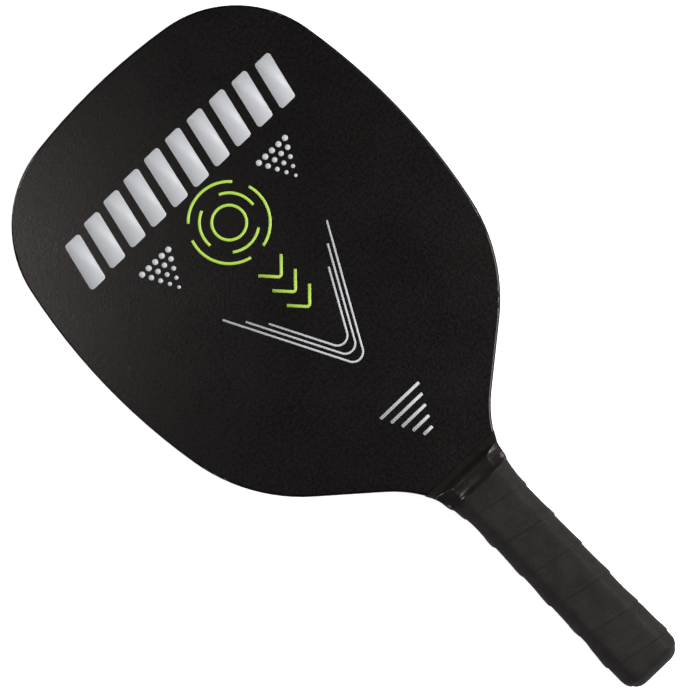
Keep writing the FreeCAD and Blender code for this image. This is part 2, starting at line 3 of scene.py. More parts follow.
import bpy
import numpy as np
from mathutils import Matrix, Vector


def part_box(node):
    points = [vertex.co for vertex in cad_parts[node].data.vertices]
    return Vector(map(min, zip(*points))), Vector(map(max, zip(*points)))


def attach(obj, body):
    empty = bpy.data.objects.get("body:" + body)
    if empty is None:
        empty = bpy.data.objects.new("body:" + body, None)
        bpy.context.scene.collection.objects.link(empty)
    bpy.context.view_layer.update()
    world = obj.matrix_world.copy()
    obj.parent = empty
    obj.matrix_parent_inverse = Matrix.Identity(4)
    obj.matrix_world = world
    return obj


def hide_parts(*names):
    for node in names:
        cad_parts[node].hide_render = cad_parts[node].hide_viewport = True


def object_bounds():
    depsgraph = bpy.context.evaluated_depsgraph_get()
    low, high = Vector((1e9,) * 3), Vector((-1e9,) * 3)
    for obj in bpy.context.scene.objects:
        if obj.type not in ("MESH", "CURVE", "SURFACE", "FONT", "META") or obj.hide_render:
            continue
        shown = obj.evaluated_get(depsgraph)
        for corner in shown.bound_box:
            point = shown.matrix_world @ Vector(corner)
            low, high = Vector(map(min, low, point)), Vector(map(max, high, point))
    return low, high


# A plywood pickleball paddle lying on its back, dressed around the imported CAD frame.
# +Y runs along the paddle to the top of the head, +X is to its right and +Z leaves the front face.
# The frame and the studio are in metres. Lengths of the pieces made here are in millimetres.

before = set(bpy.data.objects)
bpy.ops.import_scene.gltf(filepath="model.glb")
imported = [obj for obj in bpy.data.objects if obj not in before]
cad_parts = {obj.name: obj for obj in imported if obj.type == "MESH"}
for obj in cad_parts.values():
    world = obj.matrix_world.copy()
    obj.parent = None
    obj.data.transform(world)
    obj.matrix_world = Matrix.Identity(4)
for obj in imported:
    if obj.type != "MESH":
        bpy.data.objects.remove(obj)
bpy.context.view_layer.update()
MM = 0.001


def low(node):
    """Lowest corner of a CAD node, in millimetres."""
    return np.array(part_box(node)[0]) / MM


def high(node):
    """Highest corner of a CAD node, in millimetres."""
    return np.array(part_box(node)[1]) / MM


# ---------------- the handle under the soft pieces

EDGES = 8  # of the octagon round the handle
CAP_WALL = 0.8
CAP_ROUNDING = 6.5
SCALE_BEVEL = 4.0
BEVEL_SPREAD = 0.8
BEVEL_GROWTH = 2 - math.sqrt(2)
THROAT_RADIUS = 60.0
THROAT_AT = 108.5
FRONT_RADIUS = 80.0
RAMP_LENGTH, RAMP_DROP = 3.7, 6.0
GRIP_SHORT = 0.4  # the wound tape stops this far below the CAD grip's upper end

CAP_END = high("butt_cap")[1]
WOOD_START = low("front_scale")[1]
WOOD_HALF_WIDTH = high("butt_cap")[0] - CAP_WALL
WOOD_HALF_HEIGHT = high("front_scale")[2]
BLADE_HALF = high("front_face_ply")[2]
RAMP_TOE = high("front_scale")[1]
RAMP_CREST = RAMP_TOE - RAMP_LENGTH
GRIP_START, GRIP_END = low("grip_skin")[1], high("grip_skin")[1]
GRIP_TOP = GRIP_END - GRIP_SHORT
COLLAR_START, COLLAR_END = low("collar_tape")[1], high("collar_tape")[1]


def wood_half_width(y):
    """Half the tongue's width: straight along the handle, then the throat's arc."""
    rise = np.clip(np.asarray(y) - THROAT_AT, 0, None)
    return WOOD_HALF_WIDTH + THROAT_RADIUS - np.sqrt(THROAT_RADIUS ** 2 - rise ** 2)


def smooth_step(value, start, end):
    """0 before start, 1 after end, and a smooth rise in between."""
    share = np.clip((np.asarray(value) - start) / (end - start), 0, 1)
    return share * share * (3 - 2 * share)


def soft_ramp(value, softness):
    """max(value, 0) with its corner rounded."""
    return softness * np.logaddexp(0, value / softness)


def soft_least(first, second, softness):
    """The lesser of two heights, with their crossing rounded but not cut into."""
    return first - soft_ramp(first - second, softness) + softness * math.log(2)


def octagon_point(side, half_width, half_height, across, down, sharpness):
    """A point of a rectangle with soft corners whose bevels reach in across it and down it.

    Side counts the edges anticlockwise from the lower end of the right one, and goes on past the last.
    """
    side, half_width, half_height, across, down = np.broadcast_arrays(
        side, half_width, half_height, across, down
    )
    shoulder_z, shoulder_x = half_height - down, half_width - across
    corner_x = np.stack([half_width, half_width, shoulder_x, -shoulder_x] * 2)
    corner_z = np.stack([-shoulder_z, shoulder_z, half_height, half_height] * 2)
    corner_x[4:] *= -1
    corner_z[4:] *= -1
    number = np.floor(side).astype(int)
    share = side - number
    start, end = number % EDGES, (number + 1) % EDGES

    def between(corners):
        first = np.take_along_axis(corners, start[None], 0)[0]
        last = np.take_along_axis(corners, end[None], 0)[0]
        return first + (last - first) * share

    x, z = between(corner_x), between(corner_z)
    bevelled = (np.abs(x) / across + np.abs(z) / down) / (half_width / across + half_height / down - 1)
    closeness = np.stack([np.abs(x) / half_width, np.abs(z) / half_height, bevelled])
    shrink = (closeness ** sharpness).sum(0) ** (-1 / sharpness)
    return x * shrink, z * shrink


# Sharpness of the octagon's corners on the padded grip, the moulded cap, the tape and the bare wood.
SOFT_CORNERS, CRISP_CORNERS, TAPE_CORNERS, SHARP_CORNERS = 24.0, 46.0, 84.0, 200.0


def handle_point(side, y, offset, sharpness):
    """A point at a distance out from the handle's wood."""
    half_width = wood_half_width(y)
    down = SCALE_BEVEL + BEVEL_GROWTH * offset
    return octagon_point(
        side,
        half_width + offset,
        WOOD_HALF_HEIGHT + offset,
        down + BEVEL_SPREAD * (half_width - WOOD_HALF_WIDTH),
        down,
        sharpness,
    )


FLAT_STEPS, BEVEL_STEPS = 16, 8
CLEAR_OF_ENDS = 0.02


def side_stations(start, end):
    """Places round the octagon from start to end, closer together near its corners."""
    places = []
    for number in range(math.floor(start), math.ceil(end)):
        steps = FLAT_STEPS if number % 2 == 0 else BEVEL_STEPS
        places += [number + 0.5 - 0.5 * math.cos(math.pi * step / steps) for step in range(steps)]
    inside = [place for place in places if start + CLEAR_OF_ENDS < place < end - CLEAR_OF_ENDS]
    return np.array([start, *inside, end])


def turn_of(side):
    """How many turns round the handle a place is, by the length of the way there."""
    wide = WOOD_HALF_WIDTH + WOOD_HALF_HEIGHT - SCALE_BEVEL
    edges = [2 * (wide - WOOD_HALF_WIDTH), SCALE_BEVEL * math.sqrt(2), 2 * (wide - WOOD_HALF_HEIGHT)]
    lengths = np.array([edges[0], edges[1], edges[2], edges[1]] * 2)
    reached = np.concatenate([[0], np.cumsum(lengths)]) / lengths.sum()
    turns = np.floor(np.asarray(side) / EDGES)
    return turns + np.interp(side - EDGES * turns, np.arange(EDGES + 1), reached)


FRONT_MIDDLE = 2.5  # halfway along the front's edge of the octagon
FRONT_TURN = float(turn_of(FRONT_MIDDLE))


def middle_of_edge(side):
    """1 in the middle of one of the octagon's edges and 0 at its corners."""
    return np.sin(np.pi * (side - np.floor(side))) ** 2


MOST_LOBES = 8
SHORTEST_WAVE, LONGEST_WAVE = 0.6, 1.8


def undulation(side, y, seed, length, waves=14):
    """A gentle random swell over the handle's surface, from -1 to 1 or so."""
    rng = np.random.default_rng(seed)
    total = 0.0
    around = 2 * np.pi * turn_of(side)
    for _ in range(waves):
        lobes = rng.integers(1, MOST_LOBES + 1)
        pitch = length * rng.uniform(SHORTEST_WAVE, LONGEST_WAVE)
        total = total + np.sin(lobes * around + 2 * np.pi * y / pitch + rng.uniform(0, 2 * np.pi))
    return total / math.sqrt(waves)


# ---------------- meshes


def add_piece(name, points, faces, material, replaced=(), slot=None):
    """A smooth mesh piece in the frame, from points in millimetres."""
    mesh = bpy.data.meshes.new(name)
    mesh.from_pydata((np.asarray(points) * MM).tolist(), [], faces)
    mesh.validate()
    mesh.shade_smooth()
    mesh.materials.append(material)
    piece = bpy.data.objects.new(name, mesh)
    bpy.context.scene.collection.objects.link(piece)
    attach(piece, "root")
    if replaced:
        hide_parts(*replaced)
    return piece


def swept_faces(stations, points):
    """Faces of a tube through closed loops of points, with its ends capped."""
    faces = []
    for station in range(stations - 1):
        here, after = station * points, (station + 1) * points
        for point in range(points):
            beside = (point + 1) % points
            faces.append((here + point, here + beside, after + beside, after + point))
    faces.append(tuple(reversed(range(points))))
    faces.append(tuple(range((stations - 1) * points, stations * points)))
    return faces


def wound_strip(name, upper, lower, material, **piece):
    """A closed strip wound round the handle, from the x, y and z of its two surfaces.

    Each row runs across the strip at one place round the octagon. The upper surface's first and last
    points are the strip's edges, and the lower surface lies between them.
    """
    lower = [part[:, 1:-1] for part in lower]
    loops = np.concatenate([np.stack(upper, -1), np.stack(lower, -1)[:, ::-1]], axis=1)
    stations, points = loops.shape[:2]
    return add_piece(name, loops.reshape(-1, 3), swept_faces(stations, points), material, **piece)


# ---------------- materials


NOISE_SPAN = (0.3, 0.7)  # where most of a noise's values lie


class Shader:
    """A Principled material in the making, with its patterns in millimetres of the object's own space."""

    def __init__(self, name, **settings):
        self.material = bpy.data.materials.new(name)
        self.material.use_nodes = True
        self.tree = self.material.node_tree
        self.surface = self.tree.nodes["Principled BSDF"]
        for key, value in settings.items():
            self.surface.inputs[key.replace("_", " ")].default_value = value
        self.place = self.node("ShaderNodeTexCoord").outputs["Object"]
        self.millimetres = self.stretched(1, 1, 1)

    def node(self, kind, **settings):
        """A new node of a kind, with its properties set."""
        made = self.tree.nodes.new(kind)
        for key, value in settings.items():
            setattr(made, key, value)
        return made

    def feed(self, node, **links):
        """Link or set a node's inputs, named with underscores for spaces."""
        for key, source in links.items():
            socket = node.inputs[key.replace("_", " ")]
            if isinstance(source, bpy.types.NodeSocket):
                self.tree.links.new(source, socket)
            else:
                socket.default_value = source
        return node

    def stretched(self, x, y, z):
        """Object space in millimetres, with each axis scaled."""
        mapping = self.node("ShaderNodeMapping")
        self.tree.links.new(self.place, mapping.inputs["Vector"])
        mapping.inputs["Scale"].default_value = (x / MM, y / MM, z / MM)
        return mapping.outputs["Vector"]

    def noise(self, size, detail=3.0, roughness=0.55, vector=None):
        """Noise whose lumps are about size millimetres across."""
        made = self.node("ShaderNodeTexNoise")
        source = vector or self.millimetres
        self.feed(made, Vector=source, Scale=1 / size, Detail=detail, Roughness=roughness)
        return made.outputs["Fac"]

    def cells(self, size, feature="F1", vector=None, output="Distance"):
        """Random cells about size millimetres across."""
        made = self.node("ShaderNodeTexVoronoi", feature=feature)
        self.feed(made, Vector=vector or self.millimetres, Scale=1 / size)
        return made.outputs[output]

    def spread(self, value, start, end, to_start=0.0, to_end=1.0):
        """Map a value from one span to another, held at the ends."""
        made = self.node("ShaderNodeMapRange", clamp=True)
        made.inputs["Value"].default_value = 0.0
        self.tree.links.new(value, made.inputs["Value"])
        limits = {"From Min": start, "From Max": end, "To Min": to_start, "To Max": to_end}
        for key, number in limits.items():
            made.inputs[key].default_value = number
        return made.outputs["Result"]

    def combine(self, operation, first, second=0.0):
        """Two values or numbers put together by a Math operation."""
        made = self.node("ShaderNodeMath", operation=operation)
        for socket, source in zip(made.inputs, (first, second)):
            if isinstance(source, bpy.types.NodeSocket):
                self.tree.links.new(source, socket)
            else:
                socket.default_value = source
        return made.outputs[0]

    def blend(self, share, first, second):
        """A colour that goes from first to second as share goes from 0 to 1."""
        made = self.node("ShaderNodeMix", data_type="RGBA")
        self.tree.links.new(share, made.inputs["Factor"])
        for socket, source in zip((made.inputs[6], made.inputs[7]), (first, second)):
            if isinstance(source, bpy.types.NodeSocket):
                self.tree.links.new(source, socket)
            else:
                socket.default_value = (*source, 1.0)
        return made.outputs[2]

    def bumps(self, *layers):
        """Stack bump layers, each a height and its depth in millimetres."""
        normal = None
        for height, depth in layers:
            made = self.node("ShaderNodeBump")
            self.feed(made, Height=height, Distance=depth * MM, Strength=1.0)
            if normal:
                self.tree.links.new(normal, made.inputs["Normal"])
            normal = made.outputs["Normal"]
        self.tree.links.new(normal, self.surface.inputs["Normal"])

    def paint(self, **links):
        """Feed the surface's own sockets and give back the finished material."""
        self.feed(self.surface, **links)
        return self.material


SPECK_CORE = 0.6
SPECK_CUTOFF = 0.01


def specks(shader, size, radius, share):
    """1 on small scattered specks: a share of the cells holds one, of about that radius."""
    distance = shader.cells(size)
    chance = shader.cells(size, output="Color")
    near = shader.spread(distance, radius / size, SPECK_CORE * radius / size)
    chosen = shader.spread(chance, share, share - SPECK_CUTOFF)
    return shader.combine("MULTIPLY", near, chosen)


PAINT_BLACK = (0.0019, 0.0016, 0.0015)
PAINT_WORN = (0.0028, 0.0024, 0.0023)
DUST = (0.05, 0.046, 0.043)
WARM_GLOSS = (1.0, 0.90, 0.875, 1.0)  # the tint of reflections on everything black


def painted(name):
    """Satin black lacquer sprayed on plywood: orange peel, a hint of grain and a little dust."""
    shader = Shader(name, IOR=1.45, Specular_IOR_Level=0.56, Specular_Tint=WARM_GLOSS)
    peel = shader.noise(1.1, detail=2.0)
    swell = shader.noise(5.0, detail=2.0)
    grain = shader.noise(1.0, detail=4.0, vector=shader.stretched(1.4, 0.03, 1.4))
    cloud = shader.noise(30.0, detail=3.0)
    dust = specks(shader, 7.0, 0.26, 0.3)
    fleck = shader.noise(1.5, detail=2.0)
    mottle = shader.combine("ADD", fleck, shader.combine("MULTIPLY", cloud, 0.4))
    colour = shader.blend(shader.spread(mottle, 0.5, 0.9), PAINT_BLACK, PAINT_WORN)
    colour = shader.blend(dust, colour, DUST)
    gloss = shader.spread(mottle, 0.5, 0.9, 0.27, 0.35)
    shader.bumps((swell, 0.03), (grain, 0.015), (peel, 0.065))
    return shader.paint(Base_Color=colour, Roughness=gloss)


BIRCH_PALE = (0.62, 0.45, 0.28)
BIRCH_DARK = (0.42, 0.27, 0.15)


def birch_colour(shader, along_x):
    """Veneer with fine straight grain along one of the blade's axes."""
    stretch = (0.05, 1.5, 1.5) if along_x else (1.5, 0.05, 1.5)
    with_grain = shader.stretched(*stretch)
    grain = shader.noise(1.2, detail=6.0, roughness=0.65, vector=with_grain)
    figure = shader.noise(2.25, detail=3.0, vector=with_grain)
    mixed = shader.combine("ADD", grain, figure)
    return shader.blend(shader.spread(mixed, 0.75, 1.3), BIRCH_PALE, BIRCH_DARK), grain


def veneer(name, along_x):
    """An inner sheet of the blade: bare birch on its faces and lacquered black along its rim."""
    shader = Shader(name, IOR=1.45)
    facing = shader.node("ShaderNodeSeparateXYZ")
    shader.tree.links.new(shader.node("ShaderNodeTexCoord").outputs["Normal"], facing.inputs[0])
    flat = shader.spread(shader.combine("ABSOLUTE", facing.outputs["Z"]), 0.4, 0.6)
    birch, grain = birch_colour(shader, along_x)
    colour = shader.blend(flat, PAINT_WORN, birch)
    peel = shader.noise(0.9, detail=2.0)
    shader.bumps((grain, 0.03), (peel, 0.012))
    return shader.paint(Base_Color=colour, Roughness=shader.spread(flat, 0, 1, 0.38, 0.6))


def bare_wood(name):
    """Sanded, unpainted wood with its grain along the handle."""
    shader = Shader(name, IOR=1.45)
    birch, grain = birch_colour(shader, along_x=False)
    pores = shader.cells(1.3, vector=shader.stretched(2.5, 0.15, 2.5))
    shader.bumps((grain, 0.04), (pores, 0.02))
    return shader.paint(Base_Color=birch, Roughness=shader.spread(grain, *NOISE_SPAN, 0.5, 0.7))


GRIP_DARK = (0.0158, 0.0140, 0.0136)
GRIP_PALE = (0.0272, 0.0244, 0.0237)
GRIP_DUST = (0.14, 0.13, 0.12)


def leatherette(name):
    """Grip skin: soft matte polyurethane with fine pores, a mottled nap and a little dust."""
    shader = Shader(
        name,
        IOR=1.42,
        Specular_IOR_Level=0.27,
        Specular_Tint=WARM_GLOSS,
        Sheen_Weight=0.03,
        Sheen_Roughness=0.5,
    )
    pores = shader.cells(0.55)
    nap = shader.noise(0.8, detail=3.0)
    patch = shader.noise(7.0, detail=3.0)
    stretch = shader.noise(22.0, detail=2.0)
    dust = specks(shader, 5.5, 0.2, 0.22)
    fleck = shader.combine("MULTIPLY", shader.noise(1.0, detail=2.0, roughness=0.7), 2.0)
    tone = shader.combine("ADD", shader.combine("ADD", patch, stretch), fleck)
    colour = shader.blend(shader.spread(tone, 1.65, 2.35), GRIP_DARK, GRIP_PALE)
    colour = shader.blend(dust, colour, GRIP_DUST)
    gloss = shader.spread(nap, *NOISE_SPAN, 0.52, 0.66)
    shader.bumps((patch, 0.11), (nap, 0.06), (pores, 0.04))
    return shader.paint(Base_Color=colour, Roughness=gloss)


FOAM_DARK = (0.05, 0.05, 0.055)
FOAM_PALE = (0.16, 0.16, 0.17)


def foam(name):
    """Grey cellular cushion glued behind the grip's skin."""
    shader = Shader(name, IOR=1.35)
    cells = shader.cells(0.45)
    cloud = shader.noise(4.0)
    colour = shader.blend(shader.spread(cells, 0.1, 0.6), FOAM_DARK, FOAM_PALE)
    shader.bumps((cloud, 0.1), (cells, 0.12))
    return shader.paint(Base_Color=colour, Roughness=shader.spread(cloud, *NOISE_SPAN, 0.85, 0.95))


VINYL_DARK = (0.0165, 0.0146, 0.0138)
VINYL_PALE = (0.0220, 0.0197, 0.0186)


def vinyl(name):
    """Glossy black finishing tape with a faint calendered texture, small wrinkles and dust."""
    shader = Shader(name, IOR=1.5, Specular_Tint=WARM_GLOSS)
    leather = shader.cells(0.6, feature="SMOOTH_F1")
    wrinkle = shader.noise(2.4, detail=3.0, vector=shader.stretched(0.45, 1.0, 0.6))
    haze = shader.noise(6.0, detail=3.0)
    dust = specks(shader, 4.0, 0.16, 0.25)
    colour = shader.blend(shader.spread(haze, *NOISE_SPAN), VINYL_DARK, VINYL_PALE)
    colour = shader.blend(dust, colour, DUST)
    gloss = shader.spread(haze, *NOISE_SPAN, 0.12, 0.23)
    shader.bumps((wrinkle, 0.07), (leather, 0.008))
    return shader.paint(Base_Color=colour, Roughness=gloss)


PLASTIC_DARK = (0.029, 0.0262, 0.0255)
PLASTIC_PALE = (0.037, 0.0335, 0.0325)


def moulded_plastic(name):
    """Black butt cap: fine spark-eroded texture, rubbed smoother in patches."""
    shader = Shader(name, IOR=1.45, Specular_IOR_Level=0.3, Specular_Tint=WARM_GLOSS)
    spark = shader.noise(0.35, detail=3.0)
    rub = shader.noise(9.0, detail=4.0)
    colour = shader.blend(shader.spread(rub, 0.35, 0.7), PLASTIC_DARK, PLASTIC_PALE)
    shader.bumps((spark, 0.02))
    return shader.paint(Base_Color=colour, Roughness=shader.spread(rub, 0.35, 0.65, 0.62, 0.5))


ZINC_DARK = (0.52, 0.53, 0.54)
ZINC_PALE = (0.68, 0.68, 0.67)


def staple_steel(name):
    """Galvanised wire: a grey metal with drawn scratches along it and dull zinc patches."""
    shader = Shader(name, Metallic=1.0)
    drawn = shader.noise(0.12, detail=4.0, vector=shader.stretched(0.06, 1.0, 1.0))
    zinc = shader.cells(0.9, output="Color")
    colour = shader.blend(shader.spread(zinc, 0, 1), ZINC_DARK, ZINC_PALE)
    shader.bumps((drawn, 0.008))
    return shader.paint(Base_Color=colour, Roughness=shader.spread(drawn, *NOISE_SPAN, 0.25, 0.45))


ADHESIVE_DARK = (0.62, 0.58, 0.46)
ADHESIVE_PALE = (0.74, 0.71, 0.62)


def adhesive(name):
    """Milky double-sided tape with fibres in its carrier and pressed-in blisters."""
    shader = Shader(name, IOR=1.47, Subsurface_Weight=0.1)
    fibres = shader.noise(0.5, detail=5.0, vector=shader.stretched(1.0, 0.12, 1.0))
    blisters = shader.cells(3.2, feature="SMOOTH_F1")
    colour = shader.blend(shader.spread(fibres, 0.35, 0.65), ADHESIVE_DARK, ADHESIVE_PALE)
    shader.bumps((blisters, 0.05), (fibres, 0.02))
    return shader.paint(Base_Color=colour, Roughness=shader.spread(fibres, *NOISE_SPAN, 0.3, 0.5))


LIGHT_INK = ((0.795, 0.812, 0.850), (0.765, 0.782, 0.820))
LIME_INK = ((0.630, 0.950, 0.125), (0.600, 0.920, 0.115))
PINHOLE_SHADE = 0.5


def ink(name, pale, deep):
    """Screen-printed ink: nearly flat, following the lacquer's orange peel, thin in a few pinholes."""
    shader = Shader(name, IOR=1.45)
    peel = shader.noise(1.1, detail=2.0)
    cloud = shader.noise(12.0, detail=3.0)
    pinholes = specks(shader, 5.0, 0.14, 0.2)
    colour = shader.blend(shader.spread(cloud, *NOISE_SPAN), pale, deep)
    colour = shader.blend(pinholes, colour, tuple(PINHOLE_SHADE * part for part in deep))
    shader.bumps((peel, 0.014))
    return shader.paint(Base_Color=colour, Roughness=shader.spread(peel, *NOISE_SPAN, 0.38, 0.5))


MATERIALS = {
    "painted_ply": painted("black_lacquer"),
    "long_ply": veneer("birch_along_lacquered_rim", along_x=False),
    "cross_ply": veneer("birch_across_lacquered_rim", along_x=True),
    "bare_wood": bare_wood("sanded_wood"),
    "cap_plastic": moulded_plastic("moulded_black_plastic"),
    "staple_steel": staple_steel("galvanised_steel"),
    "adhesive": adhesive("double_sided_tape"),
    "grip_foam": foam("grip_foam"),
    "grip_leatherette": leatherette("grip_leatherette"),
    "vinyl_tape": vinyl("black_vinyl"),
    "light_ink": ink("light_grey_ink", *LIGHT_INK),
    "lime_ink": ink("lime_ink", *LIME_INK),
}

NODE_MATERIALS = {
    "front_face_ply": "painted_ply",
    "back_face_ply": "painted_ply",
    "front_cross_ply": "cross_ply",
    "centre_cross_ply": "cross_ply",
    "back_cross_ply": "cross_ply",
    "front_long_ply": "long_ply",
    "back_long_ply": "long_ply",
    "front_scale": "bare_wood",
    "back_scale": "bare_wood",
    "cap_staples": "staple_steel",
    "grip_start_staple": "staple_steel",
    "front_adhesive_strip": "adhesive",
    "back_adhesive_strip": "adhesive",
}


def dress_nodes():
    """Give each CAD node that stays visible its better material."""
    for node, material in NODE_MATERIALS.items():
        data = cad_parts[node].data
        data.materials.clear()
        data.materials.append(MATERIALS[material])


# ---------------- butt cap


def cap_offset(y):
    """How far the cap's outside stands out from the wood, with its closed end rounded."""
    rise = np.clip(np.asarray(y) / CAP_ROUNDING, 0, 1)
    return CAP_WALL - CAP_ROUNDING * (1 - np.sqrt(1 - (1 - rise) ** 2))


def make_butt_cap():
    """The moulded cup: domed end with a gate mark, rounded edge, straight wall and its socket."""
    round_steps, wall_rows = 14, 6
    end_shares, socket_shares = (0.05, 0.1, 0.14, 0.3, 0.55, 0.8), (0.75, 0.4)
    gate_flat, gate_reach, gate_depth = 0.07, 0.14, 0.25
    rim_rounding, clear = 0.25, 0.01
    sides = side_stations(0, EDGES)[:-1]
    rows = []
    for share in end_shares:
        depth = gate_depth * float(1 - smooth_step(share, gate_flat, gate_reach))
        rows.append((depth, float(cap_offset(0)), share))
    for step in range(round_steps + 1):
        y = CAP_ROUNDING * (1 - math.cos(0.5 * math.pi * step / round_steps))
        rows.append((y, float(cap_offset(y)), 1.0))
    straight = np.linspace(CAP_ROUNDING, CAP_END - rim_rounding, wall_rows)[1:]
    rows += [(y, CAP_WALL, 1.0) for y in straight]
    rows += [(CAP_END, CAP_WALL - rim_rounding, 1.0), (CAP_END, rim_rounding, 1.0)]
    socket = (CAP_END - rim_rounding, 0.5 * (CAP_END + WOOD_START), WOOD_START)
    rows += [(y, clear, 1.0) for y in socket]
    rows += [(WOOD_START, clear, share) for share in socket_shares]

    points = []
    for y, offset, share in rows:
        x, z = handle_point(sides, y, offset, CRISP_CORNERS)
        points.append(np.stack([share * x, np.full_like(x, y), share * z], -1))
    points = np.concatenate(points + [np.array([[0, gate_depth, 0], [0, WOOD_START, 0]])])
    around = len(sides)
    faces = [face for face in swept_faces(len(rows), around) if len(face) == 4]
    outside, inside = len(points) - 2, len(points) - 1
    last = (len(rows) - 1) * around
    for number in range(around):
        beside = (number + 1) % around
        faces.append((outside, beside, number))
        faces.append((inside, last + number, last + beside))
    add_piece(
        "butt_cap_shell",
        points,
        faces,
        MATERIALS["cap_plastic"],
        replaced=["butt_cap"],
        slot="cap_plastic",
    )


# ---------------- grip

FOAM, SKIN = 1.1, 0.85  # thickness of each layer
FOAM_TUCK, SKIN_TUCK = 1.35, 1.85
# The grip's shape along the handle: proud over the cap, tucked in at its end, drawn thin at the throat.
CAP_FLARE = 0.65
FLARE_FROM, FLARE_TO = 0.5, 6.5
TUCK_BEYOND = 1.5
PULL_LENGTH = 10
FOAM_STRETCH, SKIN_STRETCH = 0.3, 0.15
# The course of the strip's lower edge, from the first seam at the front's middle.
STRIP_WIDTH = 25.4
FIRST_SEAM = 14.2
PITCH = 20.75
TIGHTENING = 0.155
SWAY, SWAY_FADE, SWAY_MOST = 1.0, 0.5, 1.3
SWAY_PHASE = np.radians(125)
WANDERS = ((0.22, 2.7, 1.0), (0.16, 11.3, 0.4))  # size, rate and phase of each
# The strip's section: its rounded edge, raised lip, slow fall and skived edge.
EDGE_RADIUS = 0.65
SKIVED_EDGE = 0.12
LIP_HEIGHT = 0.42
LIP_AT_CORNER, LIP_GAIN = 0.6, 0.4  # at the octagon's corners, and gained between them
LIP_UNEVEN, LIP_RATE, LIP_PHASE = 0.25, 3.1, 0.8
LIP_FADE_FROM, LIP_FADE_TO = 6, 1.5
LIP_CREST, LIP_SPREAD = 1.2, 4.2
SINK = 0.18
SINK_FROM, SINK_TO = 2, 19
SKIVED_SHARE = 0.9
FIRST_TURN, LAST_TURN = -1.6, 5.52
SWELL, SWELL_LENGTH, SWELL_SEED = 0.07, 26.0, 5


def seam_at(turn):
    """Height up the handle of the strip's lower edge, by the turns from the first one at the front."""
    swing = np.cos(2 * np.pi * turn + SWAY_PHASE) - math.cos(SWAY_PHASE)
    sway = np.clip(SWAY - SWAY_FADE * turn, 0, SWAY_MOST) * swing
    wander = sum(size * np.sin(rate * turn + phase) for size, rate, phase in WANDERS)
    return FIRST_SEAM + PITCH * turn - TIGHTENING * turn ** 2 + sway + wander


def grip_flare(y):
    """The grip stands a little prouder over the butt cap."""
    return CAP_FLARE * (1 - smooth_step(y, CAP_END + FLARE_FROM, CAP_END + FLARE_TO))


def drawn_in(y):
    """1 at the grip's lower edge, falling to 0 above the cap's rounded end."""
    share = np.clip((y - GRIP_START) / (CAP_ROUNDING + TUCK_BEYOND - GRIP_START), 0, 1)
    return (1 - share) ** 2


def pulled_thin(y):
    """1 where the tape is stretched most, at the throat."""
    return smooth_step(y, GRIP_END - PULL_LENGTH, GRIP_END)


def grip_swell(side, y):
    """The wrapped handle's gentle unevenness, shared by the skin and the foam."""
    return SWELL * undulation(side, y, seed=SWELL_SEED, length=SWELL_LENGTH)


def skin_outside(y):
    """How far the plain skin's outside stands out from the wood."""
    thinned = (FOAM_STRETCH + SKIN_STRETCH) * pulled_thin(y)
    return FOAM + SKIN + grip_flare(y) - SKIN_TUCK * drawn_in(y) - thinned


def skin_inside(y):
    """How far the skin's back stands out from the wood, on the foam."""
    return FOAM + grip_flare(y) - FOAM_TUCK * drawn_in(y) - FOAM_STRETCH * pulled_thin(y)


def strip_relief(side, y):
    """Height of a turn's top surface above the plain grip.

    It has a raised lip along its lower edge, a slow fall across it, and a skived upper edge under the
    next turn.
    """
    turn = turn_of(side) - FRONT_TURN
    across = y - seam_at(turn)
    hidden = y - seam_at(turn + 1)
    overlap = seam_at(turn) + STRIP_WIDTH - seam_at(turn + 1)
    lip = LIP_HEIGHT * (LIP_AT_CORNER + LIP_GAIN * middle_of_edge(side))
    lip = lip * (1 + LIP_UNEVEN * np.sin(LIP_RATE * turn + LIP_PHASE))
    lip = lip * (1 - smooth_step(y, GRIP_END - LIP_FADE_FROM, GRIP_END - LIP_FADE_TO))
    raised = lip * np.exp(-((np.clip(across, 0, None) - LIP_CREST) / LIP_SPREAD) ** 2)
    fall = SINK * smooth_step(across, SINK_FROM, SINK_TO)
    skive = (SKIN - SINK - SKIVED_EDGE) * smooth_step(hidden, 0, SKIVED_SHARE * overlap)
    return raised - fall - skive


def edge_share(distance, radius):
    """Share of the full thickness at a distance in from a rounded edge."""
    inward = np.clip(distance / radius, 0, 1)
    return np.sqrt(1 - (1 - inward) ** 2)


def across_strip(rows, start, end):
    """Places across a strip, closest together at both edges."""
    plain, eased = 0.65, 0.35
    share = 0.5 - 0.5 * np.cos(np.pi * np.linspace(0, 1, rows))
    share = plain * share + eased * share ** 2 * (3 - 2 * share)
    return start[:, None] + (end - start)[:, None] * share[None]


def wrapped(side, y, offset, sharpness):
    """The x, y and z of rows of points round the handle."""
    x, z = handle_point(side, y, offset, sharpness)
    return x, y, z


def strip_sides():
    """Places round the octagon for the whole winding."""
    lowest, highest, tries = -14, 50, 6401
    places = np.linspace(lowest, highest, tries)
    reached = turn_of(places) - FRONT_TURN
    ends = np.interp([FIRST_TURN, LAST_TURN], reached, places)
    return side_stations(*ends)


